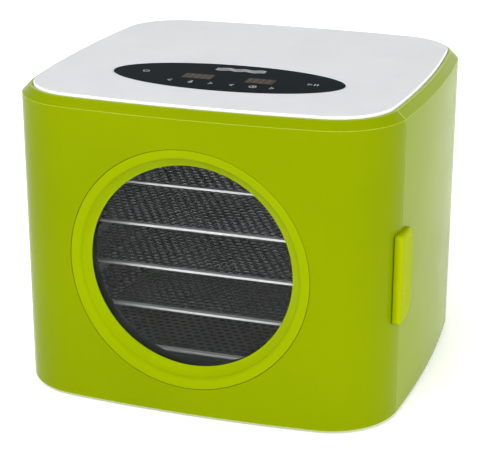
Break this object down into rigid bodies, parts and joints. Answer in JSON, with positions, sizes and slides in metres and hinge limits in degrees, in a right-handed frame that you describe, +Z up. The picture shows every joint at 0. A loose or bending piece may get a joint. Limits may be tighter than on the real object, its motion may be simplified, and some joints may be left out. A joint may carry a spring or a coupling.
{
  "type": "food dehydrator",
  "caption": "Box-shaped food dehydrator with a hinged round-windowed front door, sliding perforated trays, a rear fan heater and a touch glass on top.",
  "frame": {"origin": "bottom centre of the bounding box, on the surface it stands on", "axes": "+Z up, +X to the right seen from the front, door faces -Y"},
  "size_m": [0.34, 0.325, 0.268],
  "materials": {
    "green_shell": "satin gloss",
    "white_cover": "satin",
    "black_glass": "polished",
    "clear_window": "polished",
    "display": "gloss",
    "circuit_board": "matte",
    "dark_plastic": "moulded",
    "rubber": "matte",
    "heater_wire": "oxidised",
    "ceramic_clamp": "matte",
    "brass": "plain",
    "tray_steel": "satin",
    "chamber_steel": "satin",
    "steel": "zinc plated"
  },
  "bodies": {
    "housing": {"housing_shell": "green_shell", "rear_cover": "dark_plastic", "rear_cover_frame": "dark_plastic", "rear_screws": "steel", "top_cover": "white_cover", "control_glass": "black_glass", "control_board": "circuit_board", "board_spacers": "dark_plastic", "board_screws": "steel", "temperature_display": "display", "timer_display": "display", "base_plate": "dark_plastic", "rubber_feet": "rubber", "foot_screws": "steel", "front_frame": "dark_plastic", "catch_plates": "steel", "chamber_left_wall": "chamber_steel", "chamber_right_wall": "chamber_steel", "chamber_roof": "chamber_steel", "chamber_floor": "chamber_steel", "left_tray_rails": "chamber_steel", "right_tray_rails": "chamber_steel", "rear_baffle": "chamber_steel", "temperature_probe": "steel", "fan_shroud": "steel", "heating_coil": "heater_wire", "coil_clamps": "ceramic_clamp", "thermal_fuse": "steel", "fan_motor": "steel", "motor_bracket": "steel", "motor_screws": "steel", "power_board": "circuit_board", "power_components": "dark_plastic", "power_inlet": "dark_plastic", "inlet_pins": "brass", "hinge_fixed_leaves": "green_shell", "hinge_pins": "steel"},
    "door": {"door_shell": "green_shell", "window_ring": "green_shell", "window_gasket": "rubber", "window_glass": "clear_window", "window_retainer": "dark_plastic", "door_liner": "dark_plastic", "door_seal": "rubber", "liner_screws": "steel", "door_magnets": "steel", "door_handle": "green_shell", "hinge_door_leaves": "green_shell"},
    "fan": {"fan_impeller": "dark_plastic", "motor_shaft": "steel"},
    "tray_1": {"tray_1": "tray_steel"},
    "tray_2": {"tray_2": "tray_steel"},
    "tray_3": {"tray_3": "tray_steel"},
    "tray_4": {"tray_4": "tray_steel"},
    "tray_5": {"tray_5": "tray_steel"}
  },
  "joints": [
    {"name": "door_hinge", "type": "hinge", "parent": "housing", "child": "door", "pos_m": [-0.1653, -0.1045, 0.13], "axis": [0, 0, -1], "range_deg": [0, 120]},
    {"name": "fan_spin", "type": "hinge", "parent": "housing", "child": "fan", "pos_m": [0, 0.115, 0.13], "axis": [0, 1, 0], "continuous": true},
    {"name": "tray_1_slide", "type": "slide", "parent": "housing", "child": "tray_1", "axis": [0, -1, 0], "range_m": [0, 0.2]},
    {"name": "tray_2_slide", "type": "slide", "parent": "housing", "child": "tray_2", "axis": [0, -1, 0], "range_m": [0, 0.2]},
    {"name": "tray_3_slide", "type": "slide", "parent": "housing", "child": "tray_3", "axis": [0, -1, 0], "range_m": [0, 0.2]},
    {"name": "tray_4_slide", "type": "slide", "parent": "housing", "child": "tray_4", "axis": [0, -1, 0], "range_m": [0, 0.2]},
    {"name": "tray_5_slide", "type": "slide", "parent": "housing", "child": "tray_5", "axis": [0, -1, 0], "range_m": [0, 0.2]}
  ],
  "couplings": [
    {"joint": "tray_1_slide", "follows": "door_hinge", "m_per_rad": 0.068},
    {"joint": "tray_2_slide", "follows": "door_hinge", "m_per_rad": 0.068},
    {"joint": "tray_3_slide", "follows": "door_hinge", "m_per_rad": 0.068},
    {"joint": "tray_4_slide", "follows": "door_hinge", "m_per_rad": 0.068},
    {"joint": "tray_5_slide", "follows": "door_hinge", "m_per_rad": 0.068}
  ]
}
